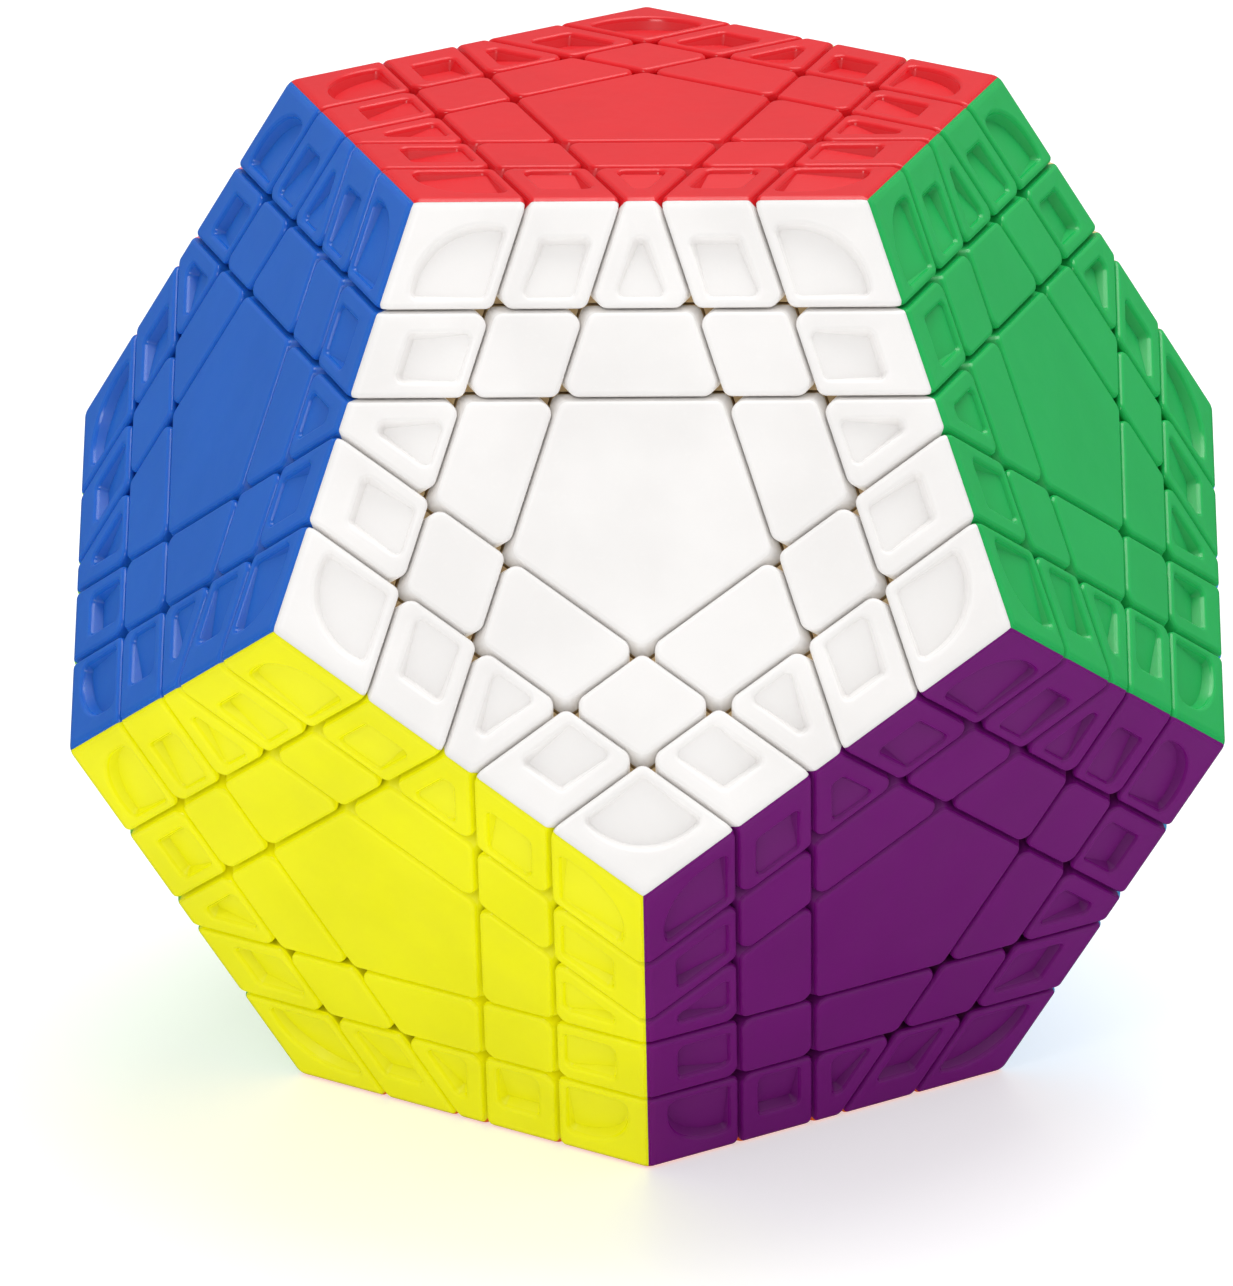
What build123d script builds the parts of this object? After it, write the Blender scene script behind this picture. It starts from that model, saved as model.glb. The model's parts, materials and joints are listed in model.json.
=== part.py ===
"""Dodecahedron twisty puzzle with five rows to an edge: twelve faces, each with two layers that turn.

Every visible piece is coloured caps on a neutral foot. The feet reach a hollow ball core, where each one is
trapped under its neighbours, and the twelve centre hubs, held down by sprung screws, trap them all.
Every surface that parts two layers is a surface of revolution about the axis of the face that turns, so the
layers of the blue, green and orange faces, which share no piece, can all turn at once.
The frame has its origin at the centre of the core and +Z through the red face.
"""

import os
from math import atan, cos, degrees, pi, radians, sin, sqrt, tan

from build123d import *

# Driving dimensions, in millimetres and degrees
EDGE = 44.0  # edge of the dodecahedron
OUTER_CUT = 39.15  # from the centre to the plane under an outer layer
INNER_CUT = 31.45  # from the centre to the plane under a second layer
GAP = 0.24  # clearance between two pieces
CAP = 2.2  # thickness of a coloured cap
UPRIGHT_R = 1.1  # rounding where four pieces meet on a face
RIDGE_R = 1.8  # rounding along the dodecahedron's edges
RIM_R = 0.5  # rounding all round a cap
FOOT_TOP, FOOT_BOTTOM = 38.0, 32.0  # radii of the sphere zone that holds the feet
OUTER_STEM, INNER_STEM = 36.0, 46.0  # half-angles of the cones that part the stems
OUTER_FOOT, INNER_FOOT = 45.0, 54.3  # half-angles of the cones that part the feet
CONE_INSET = 0.3  # from the underside of the caps to the widest ring of a stem cone

# Finger pockets in the caps along the dodecahedron's edges
POCKET_DEPTH, POCKET_SHALLOW = 1.35, 0.4  # at the ridge side and at the inner side
POCKET_DRAFT = 28.0
POCKET_LIP_R, POCKET_CORNER_R = 0.5, 0.85
RIDGE_MARGIN, ROW_MARGIN, SIDE_MARGIN = 3.6, 1.3, 1.75  # rim left round a pocket
FAN_R = 7.4  # radius of the fan-shaped pocket in a corner cap

# Core, screws and springs
CORE_WALL = 2.6
BOSS_R, BOSS_BOTTOM = 4.2, 20.0
SCREW_R, SCREW_HEAD_R, SCREW_HEAD = 1.5, 2.8, 1.9
SCREW_BOTTOM, SCREW_SEAT = 18.0, 43.2
PILOT_R, HUB_BORE_R = 1.55, 1.6
LEDGE = 34.6  # floor of the spring pocket in a hub
SPRING_POCKET_R = 3.7
SPRING_R, WIRE_R, SPRING_TURNS = 2.6, 0.3, 6
WASHER = 0.5
PLUG_R, PLUG_WALL, PLUG_DEPTH = 5.6, 1.0, 1.6  # ring under a centre cap that clips into its hub

# Shape of a dodecahedron
TILT = degrees(atan(2))  # between the axes of two faces that share an edge
FIFTH = 72.0
INRADIUS = EDGE / 20 * sqrt(250 + 110 * sqrt(5))
FACE_INRADIUS = EDGE / 2 / tan(pi / 5)
FAR = 70.0  # beyond every corner
SAME = 1e-3  # lengths closer than this are one
HALF = GAP / 2
CORE_R = FOOT_BOTTOM - HALF

UPPER_RING = {"white": -90, "green": -18, "cream": 54, "pink": 126, "blue": 198}
LOWER_RING = {"purple": -54, "sky": 18, "grey": 90, "lime": 162, "yellow": 234}
TURNING = ("blue", "green", "orange")  # the three faces whose layers have joints


def direction(polar, azimuth):
    """Unit vector at these angles from +Z and round from +X."""
    p, a = radians(polar), radians(azimuth)
    return Vector(sin(p) * cos(a), sin(p) * sin(a), cos(p))


FACES = {"red": Vector(0, 0, 1), "orange": Vector(0, 0, -1)}
FACES |= {name: direction(TILT, a) for name, a in UPPER_RING.items()}
FACES |= {name: direction(180 - TILT, a) for name, a in LOWER_RING.items()}

# The face that every piece is drawn on, and its neighbours in turn
TOP = Vector(0, 0, 1)
SIDES = [direction(TILT, FIFTH * i) for i in range(5)]
AHEAD, LEFT, RIGHT = SIDES[0], SIDES[1], SIDES[4]


def facing(axis, toward):
    """Location that turns the drawing frame so that its top lies on axis and its AHEAD side on toward."""
    return Plane(origin=(0, 0, 0), x_dir=toward - axis * axis.dot(toward), z_dir=axis).location


def carried(vector, place):
    """Where a direction of the drawing frame points once it is placed."""
    return (place * Location(vector)).position


def face_named(vector):
    """Name of the face that this direction points at."""
    return max(FACES, key=lambda name: FACES[name].dot(vector))


# ---- Surfaces that part the layers ----


def on_sphere(point, half_angle, radius):
    """Point at this radius on the line through point that leaves the axis at half_angle."""
    s, c = sin(radians(half_angle)), cos(radians(half_angle))
    along = point[0] * s + point[1] * c
    t = -along + sqrt(along**2 - point[0] ** 2 - point[1] ** 2 + radius**2)
    return point[0] + t * s, point[1] + t * c


def arc_middle(a, b, radius):
    """Point midway from a to b round a circle about the origin."""
    x, y = a[0] + b[0], a[1] + b[1]
    scale = radius / sqrt(x**2 + y**2)
    return x * scale, y * scale


def layer_solid(cut, stem_angle, foot_angle, side):
    """Everything above a layer's lower surface, inset by half the gap for side 1 and outset for side -1.

    The surface is a plane out to the caps, a cone down to the feet, then a wider cone down to the core.
    """
    g = side * HALF
    s, c = sin(radians(stem_angle)), cos(radians(stem_angle))
    waist = FACE_INRADIUS * (INRADIUS - CAP) / INRADIUS + (INRADIUS - CAP - cut) / 2 - CONE_INSET
    knee = (waist - g * c, cut + g * s)
    knee_at_plane = (knee[0] + g * (1 - s) / c * s, cut + g)
    top, bottom = FOOT_TOP - g, (FOOT_BOTTOM + g if side > 0 else CORE_R - CORE_WALL)
    neck = on_sphere(knee, stem_angle, top)
    f = radians(foot_angle)
    foot_line = (-g * cos(f), g * sin(f))
    shoulder = on_sphere(foot_line, foot_angle, top)
    toe = on_sphere(foot_line, foot_angle, bottom)
    with BuildPart() as layer:
        with BuildSketch(Plane.XZ):
            with BuildLine():
                Polyline((0, bottom), (0, FAR), (FAR, FAR), (FAR, cut + g), knee_at_plane, neck)
                ThreePointArc(neck, arc_middle(neck, shoulder, top), shoulder)
                Line(shoulder, toe)
                ThreePointArc(toe, arc_middle(toe, (0, bottom), bottom), (0, bottom))
            make_face()
        revolve(axis=Axis.Z)
    return layer.part


def dodecahedron(inradius):
    """Solid dodecahedron in the drawing frame."""
    with BuildPart() as solid:
        Box(4 * FAR, 4 * FAR, 4 * FAR)
        for normal in [TOP, *SIDES]:
            split(bisect_by=Plane(origin=normal * inradius, z_dir=normal), keep=Keep.BOTTOM)
            split(bisect_by=Plane(origin=normal * -inradius, z_dir=normal), keep=Keep.TOP)
    return solid.part


OUTER_IN = layer_solid(OUTER_CUT, OUTER_STEM, OUTER_FOOT, 1)
OUTER_OUT = layer_solid(OUTER_CUT, OUTER_STEM, OUTER_FOOT, -1)
SECOND_IN = layer_solid(INNER_CUT, INNER_STEM, INNER_FOOT, 1)
SECOND_OUT = layer_solid(INNER_CUT, INNER_STEM, INNER_FOOT, -1)
INSIDE = dodecahedron(INRADIUS - CAP)


def on_side(layer, normal):
    """A layer solid turned onto a side of the drawing frame, its seam away from the piece."""
    turn = Location() if normal == TOP else facing(normal, TOP)
    return turn * Rot(0, 0, 180) * layer


def foot(inside, outside):
    """Foot of a piece: the space under the caps that lies in some layers and out of others."""
    kept = [on_side(layer, normal) for layer, normal in inside]
    cut_away = [on_side(layer, normal) for layer, normal in outside]
    with BuildPart() as piece:
        add(INSIDE)
        for layer in kept:
            add(layer, mode=Mode.INTERSECT)
        add(cut_away, mode=Mode.SUBTRACT)
    return piece.part


# ---- Coloured caps ----


def block(shell, above, below):
    """Convex block under the planes of the shell faces, above some cut planes and below others."""
    with BuildPart() as blank:
        Box(4 * FAR, 4 * FAR, 4 * FAR)
        for normal in shell:
            split(bisect_by=Plane(origin=normal * INRADIUS, z_dir=normal), keep=Keep.BOTTOM)
        for normal, distance in above:
            split(bisect_by=Plane(origin=normal * distance, z_dir=normal), keep=Keep.TOP)
        for normal, distance in below:
            split(bisect_by=Plane(origin=normal * distance, z_dir=normal), keep=Keep.BOTTOM)
    return blank.part


def depth(point, shell):
    """How far a point lies under the nearest of the shell planes."""
    return min(INRADIUS - normal.dot(point) for normal in shell)


def rounded(blank, shell):
    """The block with its uprights, ridges and rim rounded, in that order."""

    def planes_at(point):
        return sum(abs(INRADIUS - normal.dot(point)) < SAME for normal in shell)

    def place_of(edge):
        return tuple(round(x, 3) for x in edge.center())

    with BuildPart() as body:
        add(blank)
        uprights = body.edges().filter_by(
            lambda e: planes_at(e @ 0.5) == 0 and 1 in (planes_at(e @ 0), planes_at(e @ 1))
        )
        fillet(uprights, UPRIGHT_R)
        ridges = body.edges().filter_by(lambda e: planes_at(e @ 0.5) == 2)
        if ridges:
            fillet(ridges, RIDGE_R)
        skin = body.faces().filter_by(lambda f: depth(f.center(), shell) < RIDGE_R / 2)
        seen = [place_of(edge) for face in skin for edge in face.edges()]
        fillet(body.edges().filter_by(lambda e: seen.count(place_of(e)) == 1), RIM_R)
    return body.part


def ridge_split(body):
    """The part of a block under the top face: beyond the inner shell and on the top side of each ridge plane."""
    with BuildPart() as cap:
        add(body)
        add(INSIDE, mode=Mode.SUBTRACT)
        for normal in (AHEAD, LEFT):
            split(bisect_by=Plane(origin=(0, 0, 0), z_dir=TOP - normal), keep=Keep.TOP)
    return cap.part


# ---- Finger pockets, drawn on the top face ----


def row(cut):
    """Distance from the middle of a face to the line that a neighbour's cut plane draws on it."""
    return (cut - INRADIUS * cos(radians(TILT))) / sin(radians(TILT))


OUTER_ROW, INNER_ROW = row(OUTER_CUT), row(INNER_CUT)
RIDGE_LINE, ROW_LINE = FACE_INRADIUS - RIDGE_MARGIN, OUTER_ROW + ROW_MARGIN


def heading(angle):
    """Unit vector in the plane of the top face."""
    return Vector(cos(radians(angle)), sin(radians(angle)))


def meet(angle_a, distance_a, angle_b, distance_b):
    """Where two lines in the face cross, each square to a heading and at a distance from the middle."""
    turn = radians(angle_b - angle_a)
    across = (distance_b - distance_a * cos(turn)) / sin(turn)
    return heading(angle_a) * distance_a + heading(angle_a + 90) * across


def pocket(outline, angle, near, far):
    """Solid that cuts a pocket: drafted walls, and a floor that sinks from near to far along a heading."""
    fall = (POCKET_DEPTH - POCKET_SHALLOW) / (far - near)
    start = heading(angle) * near + Vector(0, 0, INRADIUS - POCKET_SHALLOW)
    floor = Plane(origin=start, z_dir=heading(angle) * fall + Vector(0, 0, 1))
    with BuildPart() as tool:
        with BuildSketch(Plane.XY.offset(INRADIUS)) as mouth:
            add(outline)
            fillet(mouth.vertices(), POCKET_CORNER_R)
        extrude(amount=1.1 * POCKET_DEPTH, dir=(0, 0, -1), taper=POCKET_DRAFT)
        split(bisect_by=floor, keep=Keep.TOP)
        extrude(mouth.sketch, amount=POCKET_DEPTH)
    return tool.part


def row_outline(left_angle, left, right_angle, right):
    """Four-sided pocket outline between the ridge, the row behind it and two side lines."""
    with BuildSketch() as outline:
        with BuildLine():
            Polyline(
                meet(0, RIDGE_LINE, left_angle, left),
                meet(0, ROW_LINE, left_angle, left),
                meet(0, ROW_LINE, right_angle, right),
                meet(0, RIDGE_LINE, right_angle, right),
                close=True,
            )
        make_face()
    return outline.sketch


def fan_outline():
    """Fan-shaped outline, its point towards the middle of the face."""
    point = meet(0, ROW_LINE, FIFTH, ROW_LINE)
    ends = [point + heading(a) * FAN_R for a in (90, FIFTH - 90)]
    with BuildSketch() as outline:
        with BuildLine():
            Line(point, ends[0])
            ThreePointArc(ends[0], point + heading(FIFTH / 2) * FAN_R, ends[1])
            Line(ends[1], point)
        make_face()
    return outline.sketch


def with_pocket(body, tool):
    """A cap with its pocket cut and the pocket's lip rounded."""
    with BuildPart() as cap:
        add(body)
        add(tool, mode=Mode.SUBTRACT)
        face = cap.faces().filter_by(Axis.Z).sort_by(Axis.Z)[-1]
        fillet(face.inner_wires()[0].edges(), POCKET_LIP_R)
    return cap.part


# ---- The seven caps and six feet ----

ABOVE_OUTER, BELOW_OUTER = OUTER_CUT + HALF, OUTER_CUT - HALF
ABOVE_INNER, BELOW_INNER = INNER_CUT + HALF, INNER_CUT - HALF
UNDERSIDE = INRADIUS - CAP


def corner_cap():
    shell = [TOP, AHEAD, LEFT]
    body = rounded(block(shell, [(n, ABOVE_OUTER) for n in shell], []), shell)
    point = meet(0, ROW_LINE, FIFTH, ROW_LINE).length
    return with_pocket(ridge_split(body), pocket(fan_outline(), FIFTH / 2, point, point + FAN_R))


def wing_cap():
    shell = [TOP, AHEAD]
    above = [(TOP, ABOVE_OUTER), (AHEAD, ABOVE_OUTER), (LEFT, ABOVE_INNER)]
    body = rounded(block(shell, above, [(LEFT, BELOW_OUTER)]), shell)
    outline = row_outline(FIFTH, OUTER_ROW - SIDE_MARGIN, FIFTH, INNER_ROW + SIDE_MARGIN)
    return with_pocket(ridge_split(body), pocket(outline, 0, ROW_LINE, RIDGE_LINE))


def middle_cap():
    shell = [TOP, AHEAD]
    below = [(LEFT, BELOW_INNER), (RIGHT, BELOW_INNER)]
    body = rounded(block(shell, [(TOP, ABOVE_OUTER), (AHEAD, ABOVE_OUTER)], below), shell)
    side = INNER_ROW - SIDE_MARGIN
    outline = row_outline(FIFTH, side, -FIFTH, side)
    return with_pocket(ridge_split(body), pocket(outline, 0, ROW_LINE, RIDGE_LINE))


def flat_cap(above, below):
    """Cap with no pocket, for the three kinds of piece in the middle of a face."""
    return rounded(block([TOP], [(TOP, UNDERSIDE), *above], below), [TOP])


def centre_cap():
    with BuildPart() as cap:
        add(flat_cap([], [(n, BELOW_INNER) for n in SIDES]))
        with BuildSketch(Plane.XY.offset(UNDERSIDE)):
            Circle(PLUG_R)
            Circle(PLUG_R - PLUG_WALL, mode=Mode.SUBTRACT)
        extrude(amount=-PLUG_DEPTH)
    return cap.part


def centre_hub():
    socket_floor = UNDERSIDE - PLUG_DEPTH - HALF
    with BuildPart() as hub:
        add(foot([(OUTER_IN, TOP)], [(SECOND_OUT, n) for n in SIDES]))
        with BuildSketch(Plane.XY.offset(UNDERSIDE)):
            Circle(PLUG_R + HALF / 2)
        extrude(amount=socket_floor - UNDERSIDE, mode=Mode.SUBTRACT)
        with BuildSketch(Plane.XY.offset(socket_floor)):
            Circle(SPRING_POCKET_R)
        extrude(amount=LEDGE - socket_floor, mode=Mode.SUBTRACT)
        with BuildSketch(Plane.XY.offset(LEDGE)):
            Circle(HUB_BORE_R)
        extrude(amount=FOOT_BOTTOM - 1 - LEDGE, mode=Mode.SUBTRACT)
    return hub.part


CAPS = {
    "corner": corner_cap(),
    "wing": wing_cap(),
    "middle": middle_cap(),
    "x_centre": flat_cap(
        [(AHEAD, ABOVE_INNER), (LEFT, ABOVE_INNER)], [(AHEAD, BELOW_OUTER), (LEFT, BELOW_OUTER)]
    ),
    "t_centre": flat_cap(
        [(AHEAD, ABOVE_INNER)], [(AHEAD, BELOW_OUTER), (LEFT, BELOW_INNER), (RIGHT, BELOW_INNER)]
    ),
    "centre": centre_cap(),
}
MIRRORED_WING = mirror(CAPS["wing"], about=Plane(origin=(0, 0, 0), z_dir=TOP - AHEAD))

FEET = {
    "corner": foot([(OUTER_IN, TOP), (OUTER_IN, AHEAD), (OUTER_IN, LEFT)], []),
    "wing": foot([(OUTER_IN, TOP), (OUTER_IN, AHEAD), (SECOND_IN, LEFT)], [(OUTER_OUT, LEFT)]),
    "middle": foot([(OUTER_IN, TOP), (OUTER_IN, AHEAD)], [(SECOND_OUT, LEFT), (SECOND_OUT, RIGHT)]),
    "x_centre": foot(
        [(OUTER_IN, TOP), (SECOND_IN, AHEAD), (SECOND_IN, LEFT)], [(OUTER_OUT, AHEAD), (OUTER_OUT, LEFT)]
    ),
    "t_centre": foot(
        [(OUTER_IN, TOP), (SECOND_IN, AHEAD)],
        [(OUTER_OUT, AHEAD), (SECOND_OUT, LEFT), (SECOND_OUT, RIGHT)],
    ),
    "centre": centre_hub(),
}

# ---- Core, screws, washers and springs ----

LIP_HEIGHT, LIP_WALL = 2.0, 1.2  # ring on the upper half that locates the lower half
WASHER_R = SPRING_POCKET_R - 0.5
SPRING_TOP, SPRING_BOTTOM = SCREW_SEAT - WASHER, LEDGE + HALF
RECESS = (3.2, 0.7, 1.1)  # each slot of the cross recess: length, width and depth


def core_half(upward):
    """Half of the hollow ball core, with a boss for each of its six screws."""
    ring_r = CORE_R - CORE_WALL + LIP_WALL
    with BuildPart() as half:
        Sphere(CORE_R)
        Sphere(CORE_R - CORE_WALL, mode=Mode.SUBTRACT)
        for normal in FACES.values():
            with BuildSketch(Plane(origin=normal * BOSS_BOTTOM, z_dir=normal)):
                Circle(BOSS_R)
            extrude(amount=CORE_R - CORE_WALL / 2 - BOSS_BOTTOM)
        for normal in FACES.values():
            with BuildSketch(Plane(origin=normal * (BOSS_BOTTOM - 1), z_dir=normal)):
                Circle(PILOT_R)
            extrude(amount=CORE_R + 1 - BOSS_BOTTOM, mode=Mode.SUBTRACT)
        split(bisect_by=Plane.XY, keep=Keep.TOP if upward else Keep.BOTTOM)
        with BuildSketch():
            Circle(ring_r if upward else ring_r + HALF / 2)
            Circle(ring_r - LIP_WALL, mode=Mode.SUBTRACT)
        if upward:
            extrude(amount=-LIP_HEIGHT)
        else:
            extrude(amount=-LIP_HEIGHT - HALF, mode=Mode.SUBTRACT)
    return half.part


def tension_screw():
    with BuildPart() as screw:
        with BuildSketch(Plane.XY.offset(SCREW_BOTTOM)):
            Circle(SCREW_R)
        extrude(amount=SCREW_SEAT - SCREW_BOTTOM)
        chamfer(screw.edges().sort_by(Axis.Z)[0], SCREW_R / 3)
        with BuildSketch(Plane.XY.offset(SCREW_SEAT)):
            Circle(SCREW_HEAD_R)
        extrude(amount=SCREW_HEAD)
        fillet(screw.edges().sort_by(Axis.Z)[-1], SCREW_HEAD / 3)
        with BuildSketch(Plane.XY.offset(SCREW_SEAT + SCREW_HEAD)):
            Rectangle(RECESS[0], RECESS[1])
            Rectangle(RECESS[1], RECESS[0])
        extrude(amount=-RECESS[2], mode=Mode.SUBTRACT)
    return screw.part


def washer():
    with BuildPart() as ring:
        with BuildSketch(Plane.XY.offset(SPRING_TOP)):
            Circle(WASHER_R)
            Circle(HUB_BORE_R, mode=Mode.SUBTRACT)
        extrude(amount=WASHER)
    return ring.part


def tension_spring():
    height = SPRING_TOP - SPRING_BOTTOM - 2 * WIRE_R
    with BuildPart() as spring:
        with BuildLine():
            coil = Helix(
                pitch=height / SPRING_TURNS,
                height=height,
                radius=SPRING_R,
                center=(0, 0, SPRING_BOTTOM + WIRE_R),
            )
        with BuildSketch(Plane(origin=coil @ 0, z_dir=coil % 0)):
            Circle(WIRE_R)
        sweep(is_frenet=True)
    return spring.part


# ---- Assembly: every piece in its place, sorted into the bodies that turn ----


def rider(outer, second):
    """Name of the turning layer that holds a piece of these outer and second layers, or fixed."""
    for name in TURNING:
        if name in outer:
            return f"{name}_layer"
        if name in second:
            return f"{name}_slice"
    return "fixed"


def pieces_at(place):
    """Each kind of piece drawn beside the AHEAD side: its kind, outer layers, second layers and caps."""
    top, ahead, left = (face_named(carried(n, place)) for n in (TOP, AHEAD, LEFT))
    return [
        ("corner", [top, ahead, left], [], [(CAPS["corner"], top)]),
        ("wing", [top, ahead], [left], [(CAPS["wing"], top), (MIRRORED_WING, ahead)]),
        ("middle", [top, ahead], [], [(CAPS["middle"], top)]),
        ("x_centre", [top], [ahead, left], [(CAPS["x_centre"], top)]),
        ("t_centre", [top], [ahead], [(CAPS["t_centre"], top)]),
        ("centre", [top], [], [(CAPS["centre"], top)]),
    ]


def drawn_once(kind, outer, place):
    """True at one of the places where the same piece comes up again."""
    if kind in ("corner", "middle"):
        return outer[0] == min(outer)
    return kind != "centre" or is_first_side(outer[0], place)


def is_first_side(top, place):
    """True at the one of a face's five places whose AHEAD side comes first by name."""
    return face_named(carried(AHEAD, place)) == min(face_named(carried(n, place)) for n in SIDES)


FOOT_GROUPS = {
    "corner": "corner_feet",
    "wing": "edge_feet",
    "middle": "edge_feet",
    "x_centre": "inner_feet",
    "t_centre": "inner_feet",
}


def foot_node(kind, body):
    """Name of the node that a foot belongs to."""
    if kind == "centre":
        return "fixed_centre_hubs" if body == "fixed" else body.replace("layer", "centre_hub")
    return f"fixed_{FOOT_GROUPS[kind]}" if body == "fixed" else f"{body}_feet"


def assemble():
    """All nodes of the puzzle: name to list of solids."""
    nodes = {"core_upper_half": [core_half(True)], "core_lower_half": [core_half(False)]}
    hardware = {
        "tension_screws": tension_screw(),
        "screw_washers": washer(),
        "tension_springs": tension_spring(),
    }
    for axis in FACES.values():
        for toward in FACES.values():
            if abs(axis.dot(toward) - cos(radians(TILT))) > 1e-6:
                continue
            place = facing(axis, toward)
            for kind, outer, second, caps in pieces_at(place):
                body = rider(outer, second)
                once = drawn_once(kind, outer, place)
                if kind == "centre" and not once:
                    continue
                for cap, colour in caps:
                    nodes.setdefault(f"{body}_{colour}_caps", []).append(place * cap)
                if once:
                    nodes.setdefault(foot_node(kind, body), []).append(place * FEET[kind])
            if is_first_side(axis, place):
                for name, item in hardware.items():
                    nodes.setdefault(name, []).append(place * item)
    return nodes


if __name__ == "__main__":
    os.makedirs("parts", exist_ok=True)
    for node_name, shapes in assemble().items():
        node = Compound([solid for shape in shapes for solid in shape.solids()])
        node.label = node_name
        export_step(node, f"parts/{node_name}.step", write_pcurves=False)
        print(f"{node_name}: {len(node.solids())} solids")
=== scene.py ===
"""Looks of the dodecahedron twisty puzzle: its plastics and steel, the floor, the light and the camera.

Lengths are in metres and angles in degrees. Every finish is worked out from a point's place in the puzzle at
rest, so it stays with its piece when a layer turns.
"""

import json
from math import atan, cos, degrees, radians, sin

import bpy
from mathutils import Matrix, Vector


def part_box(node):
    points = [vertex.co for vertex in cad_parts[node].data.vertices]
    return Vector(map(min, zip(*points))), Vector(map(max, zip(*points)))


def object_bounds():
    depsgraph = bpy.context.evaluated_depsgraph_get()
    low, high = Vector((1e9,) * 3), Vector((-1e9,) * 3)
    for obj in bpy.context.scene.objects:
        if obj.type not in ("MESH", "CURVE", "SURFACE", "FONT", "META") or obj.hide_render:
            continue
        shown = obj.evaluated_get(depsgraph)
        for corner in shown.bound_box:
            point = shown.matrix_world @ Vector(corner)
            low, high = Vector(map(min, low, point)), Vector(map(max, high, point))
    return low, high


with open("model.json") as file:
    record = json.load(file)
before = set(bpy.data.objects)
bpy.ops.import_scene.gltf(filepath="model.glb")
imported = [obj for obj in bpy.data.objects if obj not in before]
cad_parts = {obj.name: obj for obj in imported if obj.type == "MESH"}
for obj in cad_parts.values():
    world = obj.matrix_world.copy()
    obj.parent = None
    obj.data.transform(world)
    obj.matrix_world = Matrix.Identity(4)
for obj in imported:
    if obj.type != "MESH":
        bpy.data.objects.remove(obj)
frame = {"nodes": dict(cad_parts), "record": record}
CAD_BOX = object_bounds()

MM = 0.001
INRADIUS = -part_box("orange_layer_orange_caps")[0].z  # from the puzzle's centre to each of its faces
TILT = degrees(atan(2))  # between the axes of two faces that share an edge

# Azimuths of the faces' axes: the ring round the red face on top, and the ring round the orange one below
UPPER_RING = {"white": -90, "green": -18, "cream": 54, "pink": 126, "blue": 198}
LOWER_RING = {"purple": -54, "sky": 18, "grey": 90, "lime": 162, "yellow": 234}

# Colour of each plastic and metal in linear light. The first six caps show in the photograph and orange only as
# a thin line, so the other five are guessed.
CAP_COLOURS = {
    "white": (0.89, 0.87, 0.855),
    "red": (0.68, 0.010, 0.016),
    "blue": (0.010, 0.125, 0.55),
    "green": (0.010, 0.41, 0.09),
    "yellow": (0.89, 0.87, 0.001),
    "purple": (0.160, 0.004, 0.165),
    "orange": (0.82, 0.16, 0.012),
    "sky": (0.06, 0.36, 0.68),
    "lime": (0.25, 0.62, 0.03),
    "pink": (0.80, 0.18, 0.30),
    "cream": (0.80, 0.62, 0.30),
    "grey": (0.14, 0.145, 0.155),
}
FOOT_COLOUR = (0.62, 0.44, 0.22)
CORE_COLOUR = (0.02, 0.02, 0.022)
STEEL_COLOUR = (0.58, 0.57, 0.55)

# Depths below a face of the puzzle, which tell a cap's skin, lips, pocket floor and side walls apart
LIP_TOP, LIP_END = 0.015 * MM, 0.30 * MM
POCKET_TOP, POCKET_END = 0.38 * MM, 0.50 * MM
WALL_TOP, WALL_END = 0.30 * MM, 0.60 * MM
LEANING, UPRIGHT = 0.38, 0.12  # part of a wall's normal along the face's axis

# Spans of a noise's values: nearly all of them, the middle ones, and only the high ones
WIDE_SPAN, MIDDLE_SPAN, HIGH_SPAN = (0.3, 0.7), (0.35, 0.65), (0.55, 0.8)

# Cap plastic: sizes of its unevenness, tones against its own colour and how much they show, and roughness
CLOUD_SIZE, CLOUD_DARK, CLOUD_LIGHT = 14 * MM, 0.965, 1.03
SPECK_SIZE, SPECK_SHARE, SPECK_TONE = 0.5 * MM, 0.10, 1.12
# Lips painted a little lighter: a painted highlight along the caps' rims
LIP_HIGHLIGHT_SHARE, LIP_HIGHLIGHT_TONE = 0.16, 1.10
# Pocket floors painted a little lighter: painted light against the shade in the pockets
POCKET_PAINTED_LIGHT_SHARE, POCKET_PAINTED_LIGHT_TONE = 0.5, 1.02
SKIN_ROUGHNESS, LIP_SMOOTHER, POCKET_ROUGHER = 0.34, 0.14, 0.10
RUB_SIZE, RUB_ROUGHNESS = 5 * MM, 0.03
GRAIN_SIZE, GRAIN_HEIGHT, SKIN_GRAIN, POCKET_GRAIN = 0.28 * MM, 0.012 * MM, 0.35, 0.5
SINK_SIZE, SINK_HEIGHT, SINK_STRENGTH = 9 * MM, 0.05 * MM, 0.6
CAP_IOR, CAP_SPECULAR = 1.5, 0.42
CAP_SCATTER, CAP_SCATTER_SCALE, LEAST_SCATTER = 0.35, 1.0 * MM, 0.2
# Painted glow on the caps' upright gap walls: painted light, its strength for the palest plastic and its warm
# tint
PAINTED_GAP_GLOW, PAINTED_GAP_GLOW_TINT = 0.24, (1.0, 0.93, 0.78)
LUMINANCE = (0.2126, 0.7152, 0.0722)

# Plastic of the feet, hubs and core: worn smoother within the radius where the pieces slide on each other
STREAK_SIZE, STREAK_DARK, STREAK_LIGHT, STREAK_ROUGHNESS = 7 * MM, 0.88, 1.08, 0.05
DUST_SIZE, DUST_SPAN, DUST_SHARE, DUST_TONE = 2.2 * MM, (0.5, 0.75), 0.2, 1.35
SLIDE_RADIUS, STILL_RADIUS = 38.5 * MM, 44 * MM
SLID_ROUGHNESS, MOULDED_ROUGHNESS = 0.32, 0.50
FOOT_GRAIN_HEIGHT, FOOT_GRAIN = 0.02 * MM, 0.4
FOOT_SCATTER, FOOT_SCATTER_SCALE = 0.08, 0.5 * MM

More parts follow.
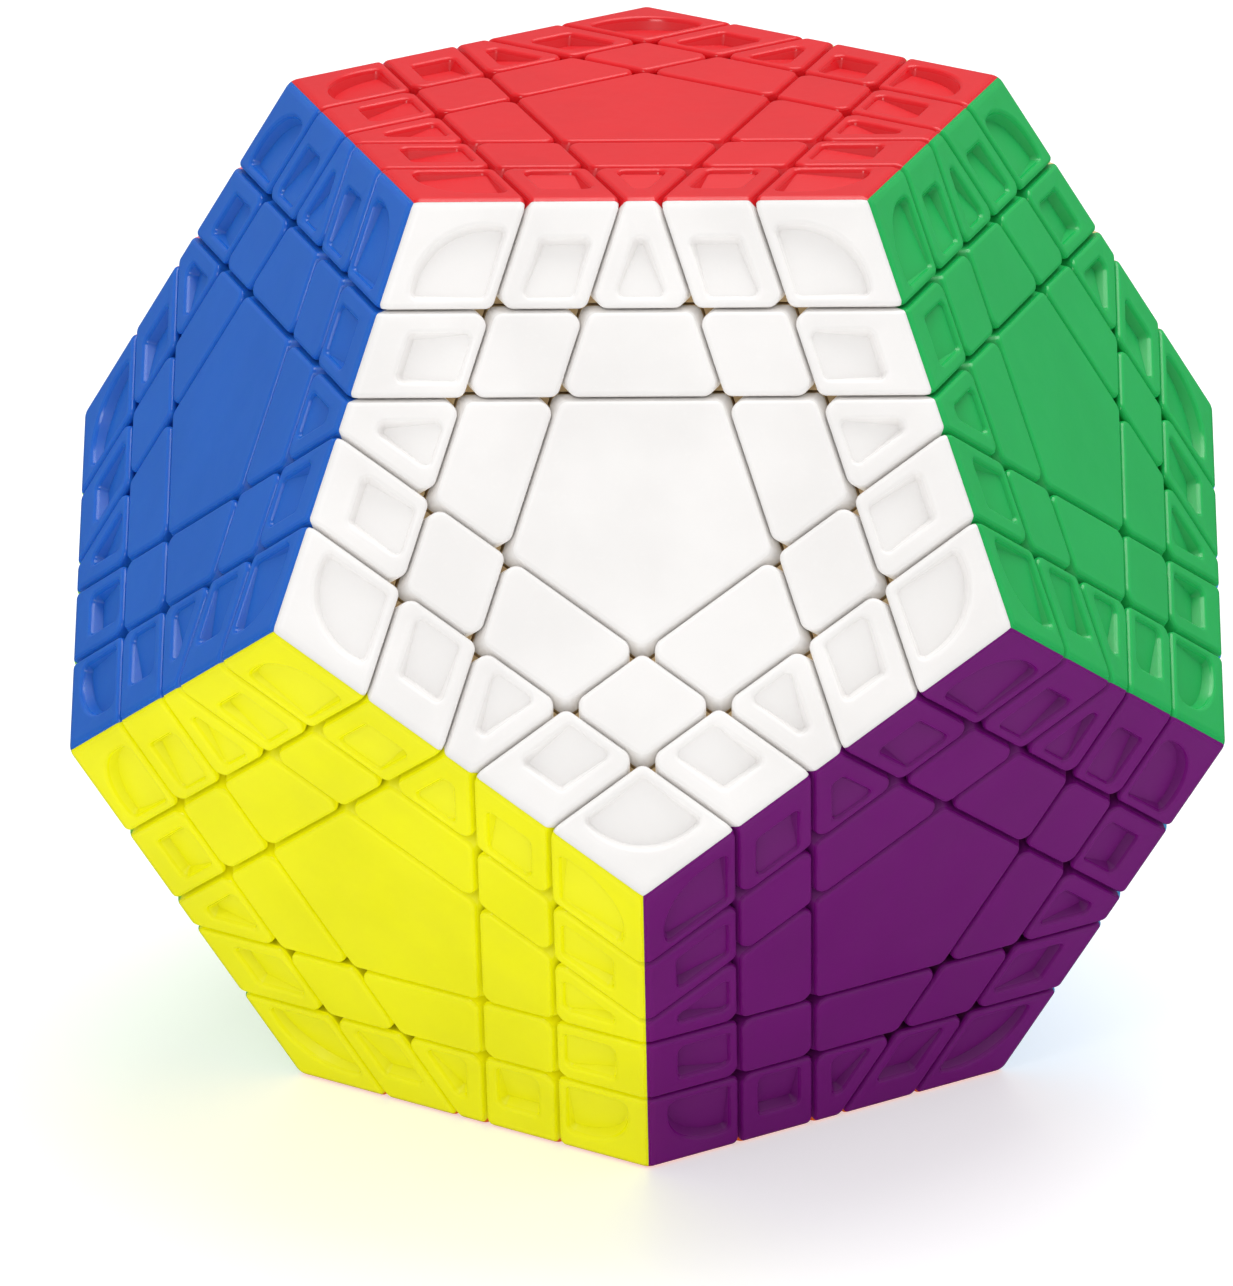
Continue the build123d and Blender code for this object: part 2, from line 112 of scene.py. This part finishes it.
# Steel: its blotches and its marks
BLOTCH_SIZE, BLOTCH_SPAN, BLOTCH_TONE = 3 * MM, (0.35, 0.7), 0.82
MARK_ROUGHNESS, MARK_HEIGHT, MARK_STRENGTH = 0.07, 0.008 * MM, 0.5

# Shading over the borders between the CAD's faces
SAME_POINT = 1e-7
CRISP_ANGLE = 50.0  # between two facets that meet in a corner, not in a rounding
AREA_WEIGHT = 80

# Camera: where it stands round the puzzle, and how far its aim is from the puzzle's centre
CAMERA_AZIMUTH, CAMERA_ELEVATION, CAMERA_ROLL = -89.13, 19.42, -0.6
CAMERA_DISTANCE = 1.0947
AIM_RIGHT, AIM_UP = -3.2 * MM, -6.6 * MM
LENS = 305.2  # for Blender's 36 mm sensor
NEAR_CLIP, FAR_CLIP = 0.01, 20

# White surroundings: their radiance as light, in gloss and to the eye
WORLD_LIGHT, WORLD_IN_GLOSS, WORLD_TO_EYE = 0.78, 0.27, 1.02

FLOOR_SIZE = 6.0
FLOOR_COLOUR = (0.62, 0.62, 0.62, 1)
FLOOR_IN_GLOSS = (0.06, 0.06, 0.06, 1)
FLOOR_ROUGHNESS, FLOOR_GLOW = 0.45, 0.5
WHITE = (1, 1, 1, 1)

# Softboxes: azimuth, elevation and distance from the puzzle's centre, side length, and power in watts
SOFTBOXES = {
    "overhead_softbox": (60, 70, 1.2, 0.9, 9),
    "front_softbox": (-110, 42, 1.4, 0.35, 2.4),
}


def direction(polar, azimuth):
    """Unit vector at these angles from +Z and round from +X."""
    p, a = radians(polar), radians(azimuth)
    return Vector((sin(p) * cos(a), sin(p) * sin(a), cos(p)))


FACES = {"red": Vector((0, 0, 1)), "orange": Vector((0, 0, -1))}
FACES |= {name: direction(TILT, a) for name, a in UPPER_RING.items()}
FACES |= {name: direction(180 - TILT, a) for name, a in LOWER_RING.items()}


# ---- Node helpers ----


class Nodes:
    """A material's node tree, with short calls for the nodes that the finishes use."""

    def __init__(self, name):
        self.material = bpy.data.materials.new(name)
        self.material.use_nodes = True
        self.tree = self.material.node_tree
        self.shader = self.tree.nodes["Principled BSDF"]
        self.coordinates = self.add("ShaderNodeTexCoord").outputs
        self.place = self.coordinates["Object"]

    def add(self, kind, **settings):
        node = self.tree.nodes.new(kind)
        for key, value in settings.items():
            setattr(node, key, value)
        return node

    def feed(self, socket, value):
        """Links a socket, or sets it where the value isn't another node's output."""
        if isinstance(value, bpy.types.NodeSocket):
            self.tree.links.new(value, socket)
        else:
            socket.default_value = value

    def noise(self, size, detail=2.0, roughness=0.5):
        """Noise whose features are about this size in metres, from 0 to 1."""
        node = self.add("ShaderNodeTexNoise")
        self.feed(node.inputs["Vector"], self.place)
        node.inputs["Scale"].default_value = 1 / size
        node.inputs["Detail"].default_value = detail
        node.inputs["Roughness"].default_value = roughness
        return node.outputs["Fac"]

    def math(self, operation, a, b=0.0, clamp=False):
        node = self.add("ShaderNodeMath", operation=operation, use_clamp=clamp)
        self.feed(node.inputs[0], a)
        self.feed(node.inputs[1], b)
        return node.outputs[0]

    def dot(self, vector, coordinate="Object"):
        """The shaded point's place or normal along a fixed direction."""
        node = self.add("ShaderNodeVectorMath", operation="DOT_PRODUCT")
        self.feed(node.inputs[0], self.coordinates[coordinate])
        node.inputs[1].default_value = vector
        return node.outputs["Value"]

    def ramp(self, value, low, high, to_low=0.0, to_high=1.0):
        """A smooth step of the value between low and high."""
        node = self.add("ShaderNodeMapRange", interpolation_type="SMOOTHSTEP")
        self.feed(node.inputs["Value"], value)
        node.inputs["From Min"].default_value = low
        node.inputs["From Max"].default_value = high
        node.inputs["To Min"].default_value = to_low
        node.inputs["To Max"].default_value = to_high
        return node.outputs["Result"]

    def mix(self, share, a, b, blend="MIX"):
        """Mix of two colours by a share from 0 to 1."""
        node = self.add("ShaderNodeMix", data_type="RGBA", blend_type=blend)
        self.feed(node.inputs["Factor"], share)
        for name, value in (("A", a), ("B", b)):
            socket = next(s for s in node.inputs if s.name == name and s.type == "RGBA")
            self.feed(socket, value if isinstance(value, bpy.types.NodeSocket) else (*value, 1))
        return next(s for s in node.outputs if s.type == "RGBA")

    def tinge(self, tone, zone, share, colour):
        """The tone, mixed with this share of a colour where the zone is 1."""
        return self.mix(self.math("MULTIPLY", zone, share), tone, colour)

    def bump(self, height, distance, strength, over=None):
        """Normal bent by a height from 0 to 1 that stands for this distance in metres."""
        node = self.add("ShaderNodeBump")
        self.feed(node.inputs["Height"], height)
        node.inputs["Distance"].default_value = distance
        self.feed(node.inputs["Strength"], strength)
        if over is not None:
            self.feed(node.inputs["Normal"], over)
        return node.outputs["Normal"]


def scaled(colour, factor):
    return tuple(min(1.0, c * factor) for c in colour)


# ---- Finishes ----


def cap_plastic(name, colour, normal):
    """Satin plastic moulded in one colour: a fine grain, lips polished by fingers and painted lighter as a
    highlight, and matt pockets.

    The upright walls in the gaps are painted with a faint glow in the cap's own colour: painted light that
    stands in for light that milky plastic carries down there, and without it the gaps between pale caps are
    black.
    """
    n = Nodes(f"{name}_cap_plastic")
    depth = n.math("SUBTRACT", INRADIUS, n.dot(normal))
    below_skin = n.ramp(depth, LIP_TOP, LIP_END)
    in_pocket = n.ramp(depth, POCKET_TOP, POCKET_END)
    lip = n.math("SUBTRACT", below_skin, in_pocket, clamp=True)

    cloud = n.ramp(n.noise(CLOUD_SIZE, detail=3), *WIDE_SPAN)
    speck = n.ramp(n.noise(SPECK_SIZE), *HIGH_SPAN)
    tone = n.mix(cloud, scaled(colour, CLOUD_DARK), scaled(colour, CLOUD_LIGHT))
    tone = n.tinge(tone, speck, SPECK_SHARE, scaled(colour, SPECK_TONE))
    # Lips painted a little lighter: a painted highlight along the rims
    tone = n.tinge(tone, lip, LIP_HIGHLIGHT_SHARE, scaled(colour, LIP_HIGHLIGHT_TONE))
    # Pocket floors painted a little lighter: painted light against the shade in the pockets
    tone = n.tinge(tone, in_pocket, POCKET_PAINTED_LIGHT_SHARE, scaled(colour, POCKET_PAINTED_LIGHT_TONE))
    n.feed(n.shader.inputs["Base Color"], tone)

    rub = n.noise(RUB_SIZE, detail=4, roughness=0.6)
    rough = n.math("ADD", SKIN_ROUGHNESS, n.ramp(rub, *MIDDLE_SPAN, -RUB_ROUGHNESS, RUB_ROUGHNESS))
    rough = n.math("SUBTRACT", rough, n.math("MULTIPLY", lip, LIP_SMOOTHER))
    rough = n.math("ADD", rough, n.math("MULTIPLY", in_pocket, POCKET_ROUGHER))
    n.feed(n.shader.inputs["Roughness"], rough)

    grain = n.noise(GRAIN_SIZE, detail=3, roughness=0.6)
    strength = n.math("ADD", SKIN_GRAIN, n.math("MULTIPLY", in_pocket, POCKET_GRAIN))
    sunk = n.bump(n.noise(SINK_SIZE, detail=1), SINK_HEIGHT, SINK_STRENGTH)
    n.feed(n.shader.inputs["Normal"], n.bump(grain, GRAIN_HEIGHT, strength, over=sunk))

    # Painted light: upright walls deep in the gaps glow in the cap's tinted colour, more strongly for pale
    # plastic
    upright = n.ramp(n.math("ABSOLUTE", n.dot(normal, "Normal")), LEANING, UPRIGHT)
    painted_gap_glow_zone = n.math("MULTIPLY", upright, n.ramp(depth, WALL_TOP, WALL_END))
    paleness = sum(weight * c for weight, c in zip(LUMINANCE, colour))
    n.feed(n.shader.inputs["Emission Color"], n.mix(1.0, tone, PAINTED_GAP_GLOW_TINT, blend="MULTIPLY"))
    n.feed(n.shader.inputs["Emission Strength"], n.math("MULTIPLY", painted_gap_glow_zone, PAINTED_GAP_GLOW * paleness))

    n.shader.inputs["IOR"].default_value = CAP_IOR
    n.shader.inputs["Specular IOR Level"].default_value = CAP_SPECULAR
    n.shader.inputs["Subsurface Weight"].default_value = CAP_SCATTER
    n.shader.inputs["Subsurface Scale"].default_value = CAP_SCATTER_SCALE
    radii = [LEAST_SCATTER + (1 - LEAST_SCATTER) * c / max(colour) for c in colour]
    n.shader.inputs["Subsurface Radius"].default_value = radii
    return n.material


def inner_plastic(name, colour, grain_size):
    """Unpainted working plastic of the feet and core, a little polished where pieces slide on each other."""
    n = Nodes(name)
    radius = n.add("ShaderNodeVectorMath", operation="LENGTH")
    n.feed(radius.inputs[0], n.place)
    streak = n.noise(STREAK_SIZE, detail=4, roughness=0.6)
    tone = n.mix(n.ramp(streak, *WIDE_SPAN), scaled(colour, STREAK_DARK), scaled(colour, STREAK_LIGHT))
    dusty = n.ramp(n.noise(DUST_SIZE, detail=5, roughness=0.7), *DUST_SPAN)
    tone = n.tinge(tone, dusty, DUST_SHARE, scaled(colour, DUST_TONE))
    n.feed(n.shader.inputs["Base Color"], tone)

    slid = n.ramp(radius.outputs["Value"], SLIDE_RADIUS, STILL_RADIUS, SLID_ROUGHNESS, MOULDED_ROUGHNESS)
    uneven = n.ramp(streak, *WIDE_SPAN, -STREAK_ROUGHNESS, STREAK_ROUGHNESS)
    n.feed(n.shader.inputs["Roughness"], n.math("ADD", slid, uneven))
    grain = n.noise(grain_size, detail=3)
    n.feed(n.shader.inputs["Normal"], n.bump(grain, FOOT_GRAIN_HEIGHT, FOOT_GRAIN))
    n.shader.inputs["Subsurface Weight"].default_value = FOOT_SCATTER
    n.shader.inputs["Subsurface Scale"].default_value = FOOT_SCATTER_SCALE
    return n.material


def steel(name, roughness, mark_size):
    """Plated steel with fine marks and slightly darker blotches."""
    n = Nodes(name)
    blotch = n.ramp(n.noise(BLOTCH_SIZE, detail=4), *BLOTCH_SPAN)
    n.feed(n.shader.inputs["Base Color"], n.mix(blotch, STEEL_COLOUR, scaled(STEEL_COLOUR, BLOTCH_TONE)))
    marks = n.noise(mark_size, detail=4, roughness=0.7)
    low, high = roughness - MARK_ROUGHNESS, roughness + MARK_ROUGHNESS
    n.feed(n.shader.inputs["Roughness"], n.ramp(marks, *WIDE_SPAN, low, high))
    n.feed(n.shader.inputs["Normal"], n.bump(marks, MARK_HEIGHT, MARK_STRENGTH))
    n.shader.inputs["Metallic"].default_value = 1.0
    return n.material


def finishes():
    """Material of each of the record's slots."""
    made = {f"{name}_cap": cap_plastic(name, CAP_COLOURS[name], axis) for name, axis in FACES.items()}
    made["foot_plastic"] = inner_plastic("foot_plastic", FOOT_COLOUR, 0.4 * MM)
    made["hub_plastic"] = inner_plastic("hub_plastic", FOOT_COLOUR, 0.3 * MM)
    made["core_plastic"] = inner_plastic("core_plastic", CORE_COLOUR, 0.25 * MM)
    made["screw_steel"] = steel("screw_steel", 0.28, 0.3 * MM)
    made["washer_steel"] = steel("washer_steel", 0.34, 0.5 * MM)
    made["spring_steel"] = steel("spring_steel", 0.25, 0.2 * MM)
    return made


def shade_smooth(node):
    """Joins the faces' borders for shading, so that a rounding runs smoothly into the flat beside it."""
    for polygon in node.data.polygons:
        polygon.use_smooth = True
    weld = node.modifiers.new("joined_borders", "WELD")
    weld.merge_threshold = SAME_POINT
    split = node.modifiers.new("crisp_corners", "EDGE_SPLIT")
    split.split_angle = radians(CRISP_ANGLE)
    split.use_edge_sharp = False
    weighted = node.modifiers.new("face_weighted_shading", "WEIGHTED_NORMAL")
    weighted.mode = "FACE_AREA"
    weighted.weight = AREA_WEIGHT
    weighted.keep_sharp = False


def dress_nodes():
    """Gives every CAD node its finish."""
    made = finishes()
    for entry in frame["record"]["subparts"]:
        node = frame["nodes"][entry["node"]]
        node.data.materials.clear()
        node.data.materials.append(made[entry["material_slot"]])
        shade_smooth(node)


# ---- Floor, light and camera ----


def floor():
    """Pale, faintly glowing ground that is dim in the puzzle's own gloss."""
    half = FLOOR_SIZE / 2
    mesh = bpy.data.meshes.new("floor")
    corners = [(-half, -half, 0), (half, -half, 0), (half, half, 0), (-half, half, 0)]
    mesh.from_pydata(corners, [], [(0, 1, 2, 3)])
    plane = bpy.data.objects.new("floor", mesh)
    plane.location.z = CAD_BOX[0].z
    bpy.context.scene.collection.objects.link(plane)

    n = Nodes("floor_white")
    n.shader.inputs["Base Color"].default_value = FLOOR_COLOUR
    n.shader.inputs["Roughness"].default_value = FLOOR_ROUGHNESS
    n.shader.inputs["Emission Color"].default_value = WHITE
    n.shader.inputs["Emission Strength"].default_value = FLOOR_GLOW
    dim = n.add("ShaderNodeBsdfDiffuse")
    dim.inputs["Color"].default_value = FLOOR_IN_GLOSS
    choice = n.add("ShaderNodeMixShader")
    n.feed(choice.inputs[0], n.add("ShaderNodeLightPath").outputs["Is Glossy Ray"])
    n.feed(choice.inputs[1], n.shader.outputs[0])
    n.feed(choice.inputs[2], dim.outputs[0])
    n.feed(n.tree.nodes["Material Output"].inputs["Surface"], choice.outputs[0])
    n.material.cycles.emission_sampling = "NONE"
    mesh.materials.append(n.material)


def softbox(name, azimuth, elevation, distance, size, power):
    """Square area light that looks at the puzzle."""
    away = direction(90 - elevation, azimuth)
    data = bpy.data.lights.new(name, "AREA")
    data.shape, data.size, data.energy = "SQUARE", size, power
    light = bpy.data.objects.new(name, data)
    light.location = away * distance
    light.rotation_euler = (-away).to_track_quat("-Z", "Y").to_euler()
    bpy.context.scene.collection.objects.link(light)


def lights():
    """White surroundings, dimmer in gloss than to the eye, and the softboxes."""
    world = bpy.data.worlds.new("studio")
    world.use_nodes = True
    new, link = world.node_tree.nodes.new, world.node_tree.links.new
    factor, first, second = 0, 2, 3  # sockets of a Mix node for numbers
    path, to_gloss, to_eye = new("ShaderNodeLightPath"), new("ShaderNodeMix"), new("ShaderNodeMix")
    link(path.outputs["Is Glossy Ray"], to_gloss.inputs[factor])
    to_gloss.inputs[first].default_value = WORLD_LIGHT
    to_gloss.inputs[second].default_value = WORLD_IN_GLOSS
    link(path.outputs["Is Camera Ray"], to_eye.inputs[factor])
    link(to_gloss.outputs[0], to_eye.inputs[first])
    to_eye.inputs[second].default_value = WORLD_TO_EYE
    back = world.node_tree.nodes["Background"]
    back.inputs["Color"].default_value = WHITE
    link(to_eye.outputs[0], back.inputs["Strength"])
    world.cycles.sampling_method = "NONE"
    bpy.context.scene.world = world
    for name, setting in SOFTBOXES.items():
        softbox(name, *setting)


def camera():
    """Long lens that looks at the puzzle from where the photograph was taken."""
    away = direction(90 - CAMERA_ELEVATION, CAMERA_AZIMUTH)
    turn = (-away).to_track_quat("-Z", "Y").to_matrix()
    right, up = turn.col[0].copy(), turn.col[1].copy()
    data = bpy.data.cameras.new("camera")
    data.lens = LENS
    data.clip_start, data.clip_end = NEAR_CLIP, FAR_CLIP
    obj = bpy.data.objects.new("camera", data)
    rolled = turn @ Matrix.Rotation(radians(CAMERA_ROLL), 3, "Z")
    place = away * CAMERA_DISTANCE + right * AIM_RIGHT + up * AIM_UP
    obj.matrix_world = Matrix.Translation(place) @ rolled.to_4x4()
    bpy.context.scene.collection.objects.link(obj)
    bpy.context.scene.camera = obj


bpy.context.scene.view_settings.view_transform = "Standard"
camera()
dress_nodes()
floor()
lights()
